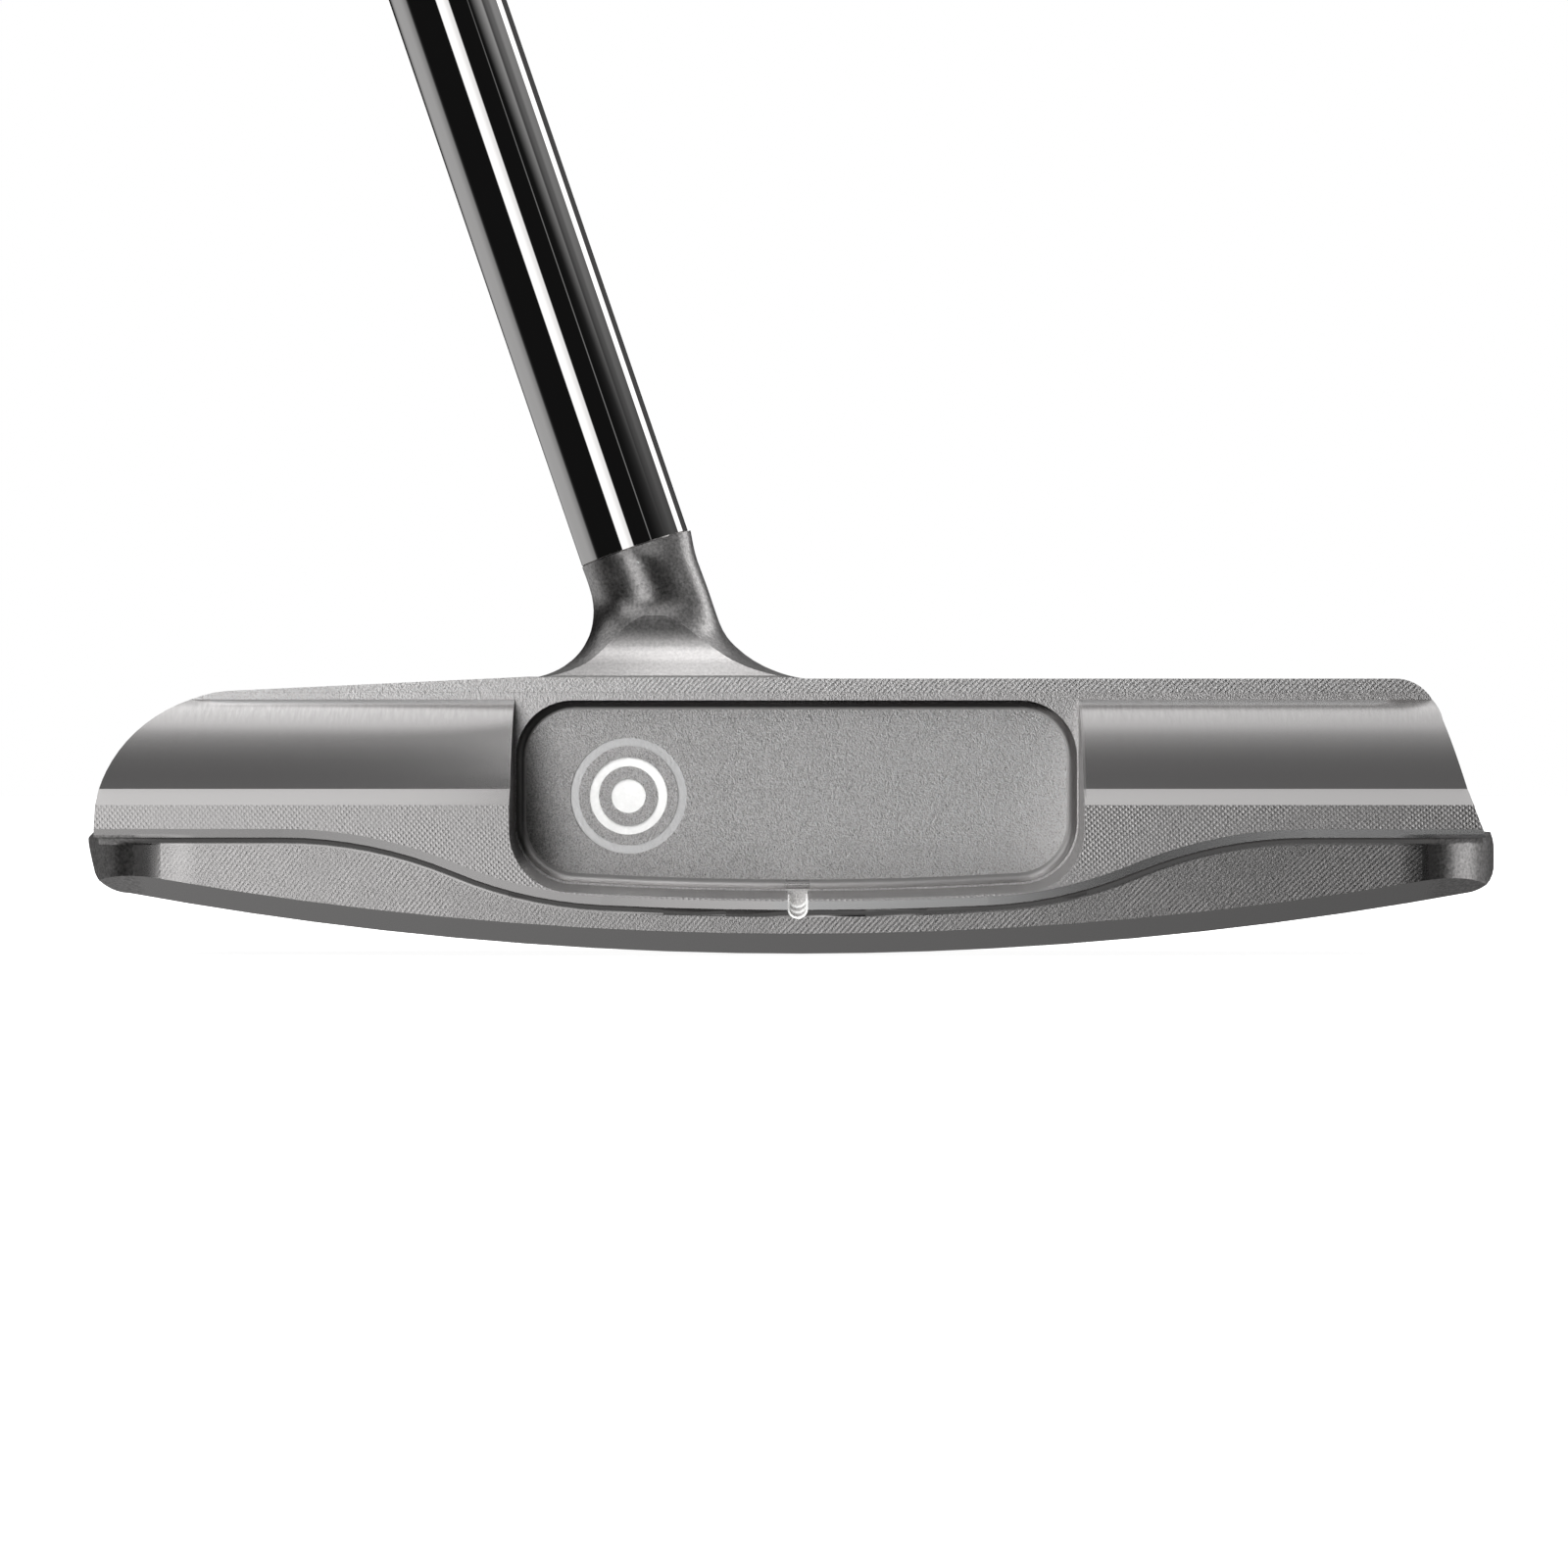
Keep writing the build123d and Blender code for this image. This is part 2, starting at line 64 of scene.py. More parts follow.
# ---- small helpers -------------------------------------------------------------------
class Shader:
    """A node material with short calls for the nodes used here."""

    def __init__(self, name):
        self.material = bpy.data.materials.new(name)
        self.material.use_nodes = True
        self.tree = self.material.node_tree
        self.tree.nodes.clear()
        self.out = self.tree.nodes.new("ShaderNodeOutputMaterial")
        self.bsdf = self.tree.nodes.new("ShaderNodeBsdfPrincipled")
        self.link(self.bsdf.outputs[0], self.out.inputs[0])

    def link(self, source, target):
        self.tree.links.new(source, target)

    def node(self, kind, **settings):
        made = self.tree.nodes.new(kind)
        for key, value in settings.items():
            setattr(made, key, value)
        return made

    def feed(self, target, value):
        if isinstance(value, bpy.types.NodeSocket):
            self.link(value, target)
        else:
            target.default_value = value

    def math(self, operation, first, second=0.0, third=0.0):
        made = self.node("ShaderNodeMath", operation=operation)
        for target, value in zip(made.inputs, (first, second, third)):
            self.feed(target, value)
        return made.outputs[0]

    def place(self):
        return self.node("ShaderNodeTexCoord").outputs["Object"]

    def parts(self, vector):
        made = self.node("ShaderNodeSeparateXYZ")
        self.link(vector, made.inputs[0])
        return made.outputs

    def scaled(self, vector, scale, rotate=(0, 0, 0)):
        made = self.node("ShaderNodeMapping")
        self.link(vector, made.inputs["Vector"])
        made.inputs["Scale"].default_value = scale
        made.inputs["Rotation"].default_value = rotate
        return made.outputs[0]

    def noise(self, vector, scale, detail=2.0, rough=0.5):
        made = self.node("ShaderNodeTexNoise")
        self.link(vector, made.inputs["Vector"])
        made.inputs["Scale"].default_value = scale
        made.inputs["Detail"].default_value = detail
        made.inputs["Roughness"].default_value = rough
        return made.outputs["Fac"]

    def span(self, value, low, high, to_low=0.0, to_high=1.0, smooth=True):
        made = self.node("ShaderNodeMapRange")
        made.interpolation_type = "SMOOTHSTEP" if smooth else "LINEAR"
        self.link(value, made.inputs["Value"])
        for name, number in (("From Min", low), ("From Max", high),
                             ("To Min", to_low), ("To Max", to_high)):
            made.inputs[name].default_value = number
        return made.outputs["Result"]

    def mix(self, factor, first, second):
        """Blend of two numbers."""
        made = self.node("ShaderNodeMix", data_type="FLOAT")
        self.feed(made.inputs[0], factor)
        self.feed(made.inputs[2], first)
        self.feed(made.inputs[3], second)
        return made.outputs[0]

    def bump(self, height, distance, strength=1.0, normal=None):
        made = self.node("ShaderNodeBump")
        made.inputs["Distance"].default_value = distance
        self.feed(made.inputs["Strength"], strength)
        self.link(height, made.inputs["Height"])
        if normal:
            self.link(normal, made.inputs["Normal"])
        return made.outputs[0]


# ---- stage, light and camera ---------------------------------------------------------
AIM = Vector((-1.115 * MM, 0, 13.93 * MM))
DISTANCE = 504.6 * MM
PIXELS_PER_MM = 12.1                # at the shaft axis, in a 1600 pixel frame
FRAME_PIXELS = 1600
SENSOR = 36.0

camera_data = bpy.data.cameras.new("camera")
camera_data.sensor_width = SENSOR
camera_data.lens = PIXELS_PER_MM * DISTANCE / MM * SENSOR / FRAME_PIXELS
camera_data.clip_start = 0.05
camera = bpy.data.objects.new("camera", camera_data)
camera.location = AIM - Vector((0, DISTANCE, 0))
camera.rotation_euler = (pi / 2, 0, 0)
bpy.context.collection.objects.link(camera)
bpy.context.scene.camera = camera


def softbox(name, target, azimuth, elevation, distance, width, height, power):
    """Softbox aimed at a point: azimuth 0 is the camera's side, + to the toe.

    The angles are in degrees and the power is in W per square metre.
    """
    turn, rise = radians(azimuth), radians(elevation)
    direction = Vector((sin(turn) * cos(rise), -cos(turn) * cos(rise), sin(rise)))
    data = bpy.data.lights.new(name, "AREA")
    data.shape = "RECTANGLE"
    data.size, data.size_y = width, height
    data.energy = power * width * height
    light = bpy.data.objects.new(name, data)
    light.location = target + direction * distance
    light.rotation_euler = (-direction).to_track_quat("-Z", "Y").to_euler()
    light.visible_camera = False
    bpy.context.collection.objects.link(light)
    return light


class Sky(Shader):
    """World shader: grey level by direction, in degrees."""

    def __init__(self, name):
        self.world = bpy.data.worlds.new(name)
        self.world.use_nodes = True
        self.tree = self.world.node_tree
        self.tree.nodes.clear()
        self.out = self.tree.nodes.new("ShaderNodeOutputWorld")
        to_degrees = 180 / pi
        self.x, self.y, self.z = self.parts(self.node("ShaderNodeTexCoord").outputs["Generated"])
        forward = self.math("MULTIPLY", self.y, -1.0)
        turn = self.math("ARCTAN2", self.x, forward)
        rise = self.math("ARCTAN2", self.z, forward)
        height = self.math("ARCSINE", self.z)
        self.turn = self.math("MULTIPLY", turn, to_degrees)      # 0 at the camera, + to the toe
        self.rise = self.math("MULTIPLY", rise, to_degrees)      # 0 at the camera, 90 overhead
        self.height = self.math("MULTIPLY", height, to_degrees)  # above the horizon
        self.level = 0.0

    def band(self, value, low, high, soft):
        rising = self.span(value, low - soft, low + soft)
        falling = self.span(value, high - soft, high + soft, 1.0, 0.0)
        return self.math("MULTIPLY", rising, falling)

    def add(self, level, *masks):
        amount = level
        for mask in masks:
            amount = self.math("MULTIPLY", amount, mask)
        self.level = self.math("ADD", self.level, amount)


sky = Sky("studio")
toward_heel = sky.span(sky.x, 0.2, -0.2, 0.62, 1.12, smooth=False)
middle = sky.band(sky.x, -0.40, 0.40, 0.10)
below = sky.span(sky.z, 0.02, -0.12)
behind = sky.span(sky.y, -0.15, 0.35)
falling = sky.span(sky.rise, 150, 140)
high = sky.span(sky.height, 20, 28)
sky.add(0.008)                      # the unlit room
# the strip behind the camera: the shaft's bright line and the flat planes' grey
strip_level = sky.span(sky.turn, -4, -14, 1.10, 1.45)
sky.add(strip_level, sky.band(sky.turn, -24, -1, 1.0), sky.band(sky.height, -25, 13, 5))
# a low card to the heel side, for the foot of the neck
sky.add(0.60, sky.band(sky.turn, -62, -28, 6), sky.band(sky.height, 7, 32, 4))
# the overhead bank, seen in the shoulder, the ledge and the cove
sky.add(0.16, sky.span(sky.rise, 35, 75), high, falling)
sky.add(0.25, sky.span(sky.rise, 78, 98), high, toward_heel, falling)
sky.add(0.68, sky.span(sky.rise, 101, 106), high, toward_heel, falling, middle)
sky.add(0.30, sky.span(sky.rise, 118, 128), high, toward_heel, falling, middle)
sky.add(0.45, sky.band(sky.rise, 27, 52, 3), high)
# the toe side: a thin line, a dim wall and two cards, for the shaft and the rounded toe
sky.add(0.22, sky.band(sky.turn, 35, 37, 0.5), sky.band(sky.height, -20, 20, 4))
sky.add(0.07, sky.band(sky.turn, 70, 200, 30), sky.band(sky.height, 8, 24, 4))
sky.add(0.95, sky.band(sky.turn, 66, 103, 4), sky.band(sky.height, -22, 10, 3))
sky.add(1.60, sky.band(sky.turn, 114, 134, 1), sky.band(sky.height, 4, 50, 4))
# the heel side, for the shaft's grey edge
sky.add(0.22, sky.span(sky.turn, -86, -92), sky.band(sky.height, -24, -2, 3))
# the pale table, seen in the bevels and under the pad
sky.add(0.21, below, behind, toward_heel)
sky.add(0.13, sky.band(sky.rise, -125, -22, 8), sky.span(sky.height, -20, -27))
background = sky.node("ShaderNodeBackground")
sky.link(sky.level, background.inputs["Color"])
white = sky.node("ShaderNodeBackground")
white.inputs["Color"].default_value = (1, 1, 1, 1)
seen = sky.node("ShaderNodeLightPath").outputs["Is Camera Ray"]
both = sky.node("ShaderNodeMixShader")
sky.link(seen, both.inputs[0])
sky.link(background.outputs[0], both.inputs[1])
sky.link(white.outputs[0], both.inputs[2])
sky.link(both.outputs[0], sky.out.inputs[0])
bpy.context.scene.world = sky.world

bpy.context.scene.view_settings.view_transform = "Standard"

# azimuth and elevation, distance, width and height, power
KEY_LIGHT = (-25, 50, 1.3, 0.9, 0.9, 34.0)
COVE_LIGHT = (0, 79, 62 * MM, 15 * MM, 60 * MM, 7.6)
COVE_TARGET = Vector((-11 * MM, -6 * MM, 24 * MM))

key = softbox("key", AIM, *KEY_LIGHT)
key.visible_glossy = False          # lights the paint and the rubber, not the mirrors

# a small softbox close above the neck lights the cove, and only the head
cove_lamp = softbox("cove_light", COVE_TARGET, *COVE_LIGHT)
lit = bpy.data.collections.new("lit_by_cove_light")
lit.objects.link(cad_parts["head"])
cove_lamp.light_linking.receiver_collection = lit

# pale floor, just under the sole
FLOOR_GAP = 0.2 * MM
FLOOR_SIZE = 12
bpy.ops.mesh.primitive_plane_add(size=FLOOR_SIZE, location=(0, 0, cad_box[0][2] - FLOOR_GAP))
floor = bpy.context.object
floor.name = "floor"
paper = Shader("paper")
paper.bsdf.inputs["Base Color"].default_value = (0.9, 0.9, 0.9, 1)
paper.bsdf.inputs["Roughness"].default_value = 0.9
paper.bsdf.inputs["Emission Color"].default_value = (1, 1, 1, 1)
paper.bsdf.inputs["Emission Strength"].default_value = 0.9
floor.data.materials.append(paper.material)
floor.visible_glossy = False


# ---- materials -----------------------------------------------------------------------
# places on the head, taken over from the CAD model, in metres
PAD_Y = (-18.3 * MM, -18.5 * MM)    # the pad's rear plane lies behind this step
FACET_Y = -17.6 * MM
BAND_Y = -7.8 * MM
PLANE_REACH = 0.25 * MM
FLOOR_Y = -5.3 * MM                 # pocket floor; its reach takes in the mark's recess
FLOOR_REACH = 0.45 * MM
GROOVE_Y = (-5.12 * MM, -5.06 * MM)  # the bottom of the mark's bare groove
COVE_Z = 25.39 * MM
COVE_REACH = 2.61 * MM
TOPLINE_Z = (22.7 * MM, 23.1 * MM)  # the blasted neck starts here
HEEL_END_X = (-53.2 * MM, -54.2 * MM)
TOE_END_X = (51.2 * MM, 52.2 * MM)
LOWER_BODY_Z = (9.9 * MM, 9.7 * MM)
BACK_HALF_Y = (4 * MM, 3 * MM)
SLOPES_Z = (11.9 * MM, 12.1 * MM)   # shoulder and ledge lie above this level
BEHIND_BAND_Y = (-7.83 * MM, -7.87 * MM)
LEDGE_FOOT_Z = (12.1 * MM, 12.2 * MM)
LEDGE_TOP_Z = (13.6 * MM, 13.5 * MM)
TOOL_LINE_Z = 21.52 * MM            # a cutter pass ends along the top band
WINDOW_HALF = (23.55 * MM, 23.5 * MM)
WINDOW_FOOT_Z = (4.6 * MM, 4.7 * MM)
WINDOW_HEAD_Z = (21.1 * MM, 21.0 * MM)
WINDOW_REAR_Y = (-17.9 * MM, -17.4 * MM)
WINDOW_FRONT_Y = (-4.9 * MM, -5.0 * MM)
POCKET_FOOT_Y = (-6.3 * MM, -6.1 * MM)
SIGHT_HALF = (1.1 * MM, 1.0 * MM)
SIGHT_TOP_Z = (7.0 * MM, 6.9 * MM)
BEVEL_Y = -18.53 * MM
BEVEL_REACH = 0.075 * MM

# blasting has eased the facet into the rounded ends
EASE_START = 48.9 * MM              # the facet starts to turn here, heel and toe
EASE_RUN = 2.6 * MM
EASE_RADIUS = 20 * MM

# sizes of the marks
RISING = (48, 0.34 * MM, 0.5 * MM, 1.2)         # degrees, pitch, wander, bend
FALLING = (-44, 0.31 * MM, 0.6 * MM, -1.0)
SWIRL_CENTRE = (-6 * MM, -9 * MM)
SWIRL_PITCH = 0.42 * MM
MARK_DEPTH = 0.011 * MM
STREAK_DEPTH = 0.0006 * MM
BLAST_DEPTH = 0.012 * MM

STEEL_TINT = (0.560, 0.548, 0.545)
BRIGHTEST = 2.6                     # limit of the steel's tone


class Steel(Shader):
    """Milled stainless steel; the neck and the rounded ends are bead-blasted."""

    def __init__(self):
        super().__init__("milled_steel")
        coords = self.node("ShaderNodeTexCoord")
        self.spot = coords.outputs["Object"]
        self.x, self.y, self.z = self.parts(self.spot)
        self.nx, self.ny, self.nz = self.parts(coords.outputs["Normal"])
        self.beside = self.math("ABSOLUTE", self.x)
        self.zones()
        self.patterns()
        self.window_walls()
        self.relief()
        self.polish()
        self.shade()

    # -- arithmetic on masks
    def times(self, first, *others):
        for other in others:
            first = self.math("MULTIPLY", first, other)
        return first

    def plus(self, value, mask, amount):
        return self.math("MULTIPLY_ADD", mask, amount, value)

    def without(self, mask):
        return self.math("SUBTRACT", 1.0, mask)

    def centred(self, pattern):
        return self.math("SUBTRACT", pattern, 0.5)

    def near(self, value, centre, reach):
        return self.math("COMPARE", value, centre, reach)

    def zones(self):
        """Where each plane, the cove, the slopes and the blasted skin lie."""
        # the horizontal cove behind the neck is cut, so it has no blasted grain
        level = self.span(self.math("ABSOLUTE", self.nx), 0.02, 0.008)
        self.cove = self.times(level, self.near(self.z, COVE_Z, COVE_REACH))
        self.flat = self.times(self.span(self.ny, -0.996, -0.999), self.without(self.cove))
        self.on_pad = self.times(self.flat, self.span(self.y, *PAD_Y))
        self.on_facet = self.times(self.flat, self.near(self.y, FACET_Y, PLANE_REACH))
        self.on_band = self.times(self.flat, self.near(self.y, BAND_Y, PLANE_REACH))
        self.on_floor = self.times(self.flat, self.near(self.y, FLOOR_Y, FLOOR_REACH))
        self.groove = self.times(self.on_floor, self.span(self.y, *GROOVE_Y))
        self.low = self.span(self.z, *LOWER_BODY_Z)
        ends = self.math("MAXIMUM", self.span(self.x, *HEEL_END_X), self.span(self.x, *TOE_END_X))
        ends = self.times(ends, self.low, self.span(self.y, *BACK_HALF_Y))
        neck = self.times(self.span(self.z, *TOPLINE_Z), self.without(self.cove))
        self.blasted = self.math("MAXIMUM", ends, neck)
        self.cut = self.without(self.blasted)
        turned = self.math("MAXIMUM", self.cove, self.span(self.y, *BEHIND_BAND_Y))
        along = self.span(self.math("ABSOLUTE", self.nx), 0.05, 0.02)
        self.sloped = self.times(
            self.without(self.flat), self.cut, self.span(self.z, *SLOPES_Z), turned, along)

    def strokes(self, direction, pitch, wander, bend):
        """Parallel cutter marks: direction in degrees from the heel-toe line."""
        angle = radians(direction)
        across = self.math("MULTIPLY", self.x, -sin(angle))
        across = self.plus(across, self.z, cos(angle))
        along = self.math("MULTIPLY", self.x, cos(angle))
        along = self.plus(along, self.z, sin(angle))
        across = self.plus(across, self.times(along, along), bend)
        shift = self.noise(self.scaled(self.spot, (60, 60, 60)), 1.0, 2.0)
        across = self.plus(across, shift, wander)
        wave = self.math("SINE", self.math("MULTIPLY", across, 2 * pi / pitch))
        return self.math("MULTIPLY_ADD", wave, 0.5, 0.5)

    def fleck(self, scale, detail=2.0):
        return self.noise(self.scaled(self.spot, scale), 1.0, detail, 0.6)

    def patterns(self):
        """Cutter marks, pits, streaks and grain, each about 0.1 to 0.4 mm wide."""
        blotches = self.noise(self.scaled(self.spot, (140, 140, 220)), 1.0, 2.0)
        patchy = self.span(blotches, 0.35, 0.65)
        rising, falling = self.strokes(*RISING), self.strokes(*FALLING)
        self.grain = self.fleck((4000, 4000, 4000), 3.0)
        fine = self.fleck((8000, 8000, 8000))
        upright = self.fleck((4200, 500, 260))
        self.level_lines = self.fleck((60, 1500, 6200))

        # hatching on the facet and the band, crossed hatching on the pad
        upper_band = self.times(
            self.on_band, self.span(self.z, 21.48 * MM, 21.56 * MM),
            self.span(self.x, -16 * MM, -12 * MM, 0.25, 0.8))
        broken = self.times(self.on_facet, self.math("MULTIPLY_ADD", patchy, 0.45, 0.2))
        hatch = self.times(rising, self.math("ADD", broken, upper_band))
        gritty = self.plus(self.on_facet, self.on_band, 1.9)
        hatch = self.plus(hatch, self.centred(fine), gritty)
        hatch = self.plus(hatch, self.math("SUBTRACT", self.on_band, upper_band), 0.2)
        crossing = self.times(rising, falling, self.on_pad)
        crossing = self.times(crossing, self.math("MULTIPLY_ADD", patchy, 0.5, 0.35))
        marks = self.math("ADD", hatch, crossing)
        marks = self.plus(marks, self.centred(self.grain), 0.9)

        # the pocket floor is finely pitted, with swirls left by a wide cutter
        centre_x, centre_z = SWIRL_CENTRE
        run_x = self.math("SUBTRACT", self.x, centre_x)
        run_z = self.math("SUBTRACT", self.z, centre_z)
        reach = self.math("SQRT", self.plus(self.times(run_z, run_z), run_x, run_x))
        swirl = self.math("SINE", self.math("MULTIPLY", reach, 2 * pi / SWIRL_PITCH))
        pits = self.times(self.centred(fine), 3.6)
        pits = self.plus(pits, self.times(swirl, patchy), 0.05)
        pits = self.times(self.math("ADD", pits, 0.25), self.without(self.groove))
        self.marks = self.plus(marks, self.on_floor, pits)

        # streaks along the cut on the shoulder, level lines on the ledge and in the cove
        ledge = self.times(self.span(self.z, *LEDGE_FOOT_Z), self.span(self.z, *LEDGE_TOP_Z))
        lined = self.math("MAXIMUM", ledge, self.cove)
        self.streaks = self.mix(lined, upright, self.level_lines)
        upper_shoulder = self.span(self.z, 18.6 * MM, 20.6 * MM, 0.12, 1.0)
        self.streaky = self.times(self.centred(self.streaks), upper_shoulder)

    def window_walls(self):
        """Walls of the window and the pocket's foot: painted shade on walls facing down or to the
        toe, and a painted highlight on the pocket's foot fillet.
        """
        walls = self.times(
            self.span(self.beside, *WINDOW_HALF), self.span(self.z, *WINDOW_FOOT_Z),
            self.span(self.z, *WINDOW_HEAD_Z), self.without(self.flat),
            self.span(self.y, *WINDOW_REAR_Y), self.span(self.y, *WINDOW_FRONT_Y))
        sight = self.times(self.span(self.beside, *SIGHT_HALF), self.span(self.z, *SIGHT_TOP_Z))
        self.walls = self.times(walls, self.without(sight))
        heelward = self.math("SUBTRACT", self.nx, self.nz)
        self.painted_wall_shade = self.times(self.walls, self.span(heelward, 0.05, 0.45))
        self.painted_fillet_highlight = self.times(
            self.walls, self.span(heelward, -0.25, -0.6), self.span(self.y, *POCKET_FOOT_Y))

    def relief(self):
        """Bumps: the eased ends, the marks, the streaks and the blasted grain."""
        past = self.math("MAXIMUM", self.math("SUBTRACT", self.beside, EASE_START), 0.0)
        near = self.math("MINIMUM", past, EASE_RUN)
        fall = self.times(near, near, 0.5 / EASE_RADIUS)
        fall = self.plus(fall, self.math("SUBTRACT", past, near), EASE_RUN / EASE_RADIUS)
        fall = self.times(fall, -1.0)
        eased = self.times(self.low, self.span(self.ny, -0.3, -0.5))
        normal = self.bump(fall, 1.0, eased)
        normal = self.bump(self.marks, MARK_DEPTH, self.flat, normal)
        normal = self.bump(self.streaks, STREAK_DEPTH, self.sloped, normal)
        normal = self.bump(self.grain, BLAST_DEPTH, self.blasted, normal)
        self.link(normal, self.bsdf.inputs["Normal"])

    def polish(self):
        """Roughness."""
        lip = self.times(
            self.span(self.z, 20.2 * MM, 20.7 * MM), self.span(self.z, 22.7 * MM, 22.5 * MM))
        wide = self.times(self.math("MAXIMUM", self.cove, lip), self.sloped)
        rough = self.mix(self.blasted, 0.27, 0.33)
        rough = self.plus(rough, wide, 0.16)
        rough = self.plus(rough, self.flat, 0.03)
        rough = self.plus(rough, self.walls, 0.15)
        textured = self.math("MAXIMUM", self.flat, self.blasted)
        uneven = self.times(self.centred(self.grain), textured)
        rough = self.plus(rough, uneven, 0.12)
        self.link(rough, self.bsdf.inputs["Roughness"])
        self.bsdf.inputs["Metallic"].default_value = 1.0

    def shade(self):
        """Tone: a factor on the steel's tint, which also carries painted light and painted shade.
        """
        strength = self.plus(self.plus(0.62, self.on_facet, -0.14), self.on_pad, -0.30)
        contrast = self.times(self.math("SUBTRACT", self.marks, 0.25), self.flat, strength)
        tone = self.math("ADD", contrast, 1.0)
        raised = self.math("SUBTRACT", self.flat, self.on_facet)
        tone = self.plus(tone, raised, 0.24)
        # painted light: the raised planes lighten towards the toe, the band and facet lighten
        # towards the heel and darken towards the toe, and the pad darkens towards the heel
        tone = self.plus(tone, self.times(raised, self.span(self.x, -15 * MM, 50 * MM)), 0.34)
        tone = self.plus(tone, self.on_floor, 0.30)
        tone = self.plus(tone, self.on_band, 0.12)
        for mask, far_heel, far_toe in (
                (self.on_band, 0.47, -0.12), (self.on_facet, 0.19, -0.10)):
            painted_light_slope = self.span(self.x, -50 * MM, 50 * MM, far_heel, far_toe, smooth=False)
            tone = self.plus(tone, mask, painted_light_slope)
        painted_light_slope = self.span(self.x, -50 * MM, 10 * MM, -0.09, 0.0, smooth=False)
        tone = self.plus(tone, self.on_pad, painted_light_slope)
        # painted light along the pad's lower edge: darker at the heel, brighter towards the toe
        painted_bevel_light = self.times(
            self.near(self.y, BEVEL_Y, BEVEL_REACH), self.without(self.flat),
            self.span(self.nz, -0.05, -0.12), self.span(self.x, -30 * MM, 12 * MM, -0.3, 1.2))
        tone = self.math("ADD", tone, painted_bevel_light)
        grainy = self.math("MAXIMUM", self.blasted, self.times(self.cove, 0.5))
        tone = self.plus(tone, self.times(self.centred(self.grain), grainy), 1.6)
        streak_contrast = self.math("MULTIPLY_ADD", self.cove, -0.35, 0.5)
        tone = self.plus(tone, self.times(self.streaky, self.sloped), streak_contrast)
        # the face and the topline are brushed lengthwise
        faceward, upward = self.span(self.ny, 0.9, 0.98), self.span(self.nz, 0.97, 0.995)
        brushed = self.math("MAXIMUM", faceward, upward)
        brushed = self.times(brushed, self.cut, self.centred(self.level_lines))
        tone = self.plus(tone, brushed, 0.3)
        tool_line = self.times(self.on_band, self.near(self.z, TOOL_LINE_Z, 0.045 * MM))
        tone = self.plus(tone, tool_line, -0.22)
        # painted shade at the cove's top and a painted highlight in its middle
        painted_cove_shade = self.times(self.span(self.z, 25.1 * MM, 27.5 * MM), self.cove)
        tone = self.plus(tone, painted_cove_shade, -0.55)
        painted_cove_highlight = self.times(
            self.span(self.z, 23.9 * MM, 24.6 * MM), self.span(self.z, 25.6 * MM, 24.9 * MM),
            self.cove)
        tone = self.plus(tone, painted_cove_highlight, 0.35)
        tone = self.plus(tone, self.groove, 1.0)
        # painted highlight along the shoulder's top
        painted_shoulder_highlight = self.times(
            self.span(self.z, 20.35 * MM, 20.8 * MM), self.span(self.z, 21.05 * MM, 21.0 * MM),
            self.span(self.y, -7.82 * MM, -7.86 * MM),
            self.span(self.x, -20 * MM, 20 * MM, 1.8, 2.4),
            self.span(self.beside, 50 * MM, 47 * MM))
        tone = self.math("ADD", tone, painted_shoulder_highlight)
        tone = self.plus(tone, self.blasted, -0.14)
        # painted highlight on the pocket's foot fillet
        tone = self.plus(tone, self.painted_fillet_highlight, 0.45)
        # painted shade in the pocket's heel end, wider towards the sole
        corner = self.plus(self.x, self.math("SUBTRACT", self.z, 20 * MM), 0.2)
        painted_corner_shade = self.times(
            self.on_floor, self.span(corner, -21.3 * MM, -24.6 * MM),
            self.span(self.x, -15 * MM, -17 * MM))
        # painted shade: the pocket's heel corner and the walls facing down or to the toe are
        # darkened
        painted_shade_factor = self.plus(self.plus(1.0, painted_corner_shade, -0.62), self.painted_wall_shade, -0.82)
        tone = self.math("MINIMUM", tone, BRIGHTEST)
        tone = self.times(tone, self.math("MAXIMUM", painted_shade_factor, 0.1))
        base = self.node("ShaderNodeVectorMath", operation="SCALE")
        base.inputs[0].default_value = STEEL_TINT
        self.link(tone, base.inputs["Scale"])
        self.link(base.outputs[0], self.bsdf.inputs["Base Color"])


def plated():
    """Dark mirror plating of the shaft, with the faintest draw lines."""
    s = Shader("black_plating")
    place = s.place()
    turned = s.scaled(place, (30, 30, 30), (0, LEAN, 0))
    smear = s.noise(turned, 1.0, 3.0)
    dust = s.noise(s.scaled(place, (2600, 2600, 2600)), 1.0, 2.0)
    s.bsdf.inputs["Metallic"].default_value = 1.0
    s.bsdf.inputs["Base Color"].default_value = (0.72, 0.71, 0.705, 1)
    s.link(s.math("MULTIPLY_ADD", smear, 0.02, 0.015), s.bsdf.inputs["Roughness"])
    s.link(s.bump(dust, 0.00004 * MM), s.bsdf.inputs["Normal"])
    return s.material


def rubber(name, level, size, depth):
    s = Shader(name)
    place = s.place()
    pores = s.noise(s.scaled(place, (size, size, size)), 1.0, 3.0, 0.6)
    worn = s.noise(s.scaled(place, (90, 90, 90)), 1.0, 3.0)
    shade = s.math("MULTIPLY_ADD", worn, 0.35, 0.8)
    base = s.node("ShaderNodeVectorMath", operation="SCALE")
    base.inputs[0].default_value = (level, level, level * 1.03)
    s.link(shade, base.inputs["Scale"])
    s.link(base.outputs[0], s.bsdf.inputs["Base Color"])
    s.link(s.math("MULTIPLY_ADD", worn, 0.12, 0.52), s.bsdf.inputs["Roughness"])
    s.link(s.bump(pores, depth), s.bsdf.inputs["Normal"])
    return s.material


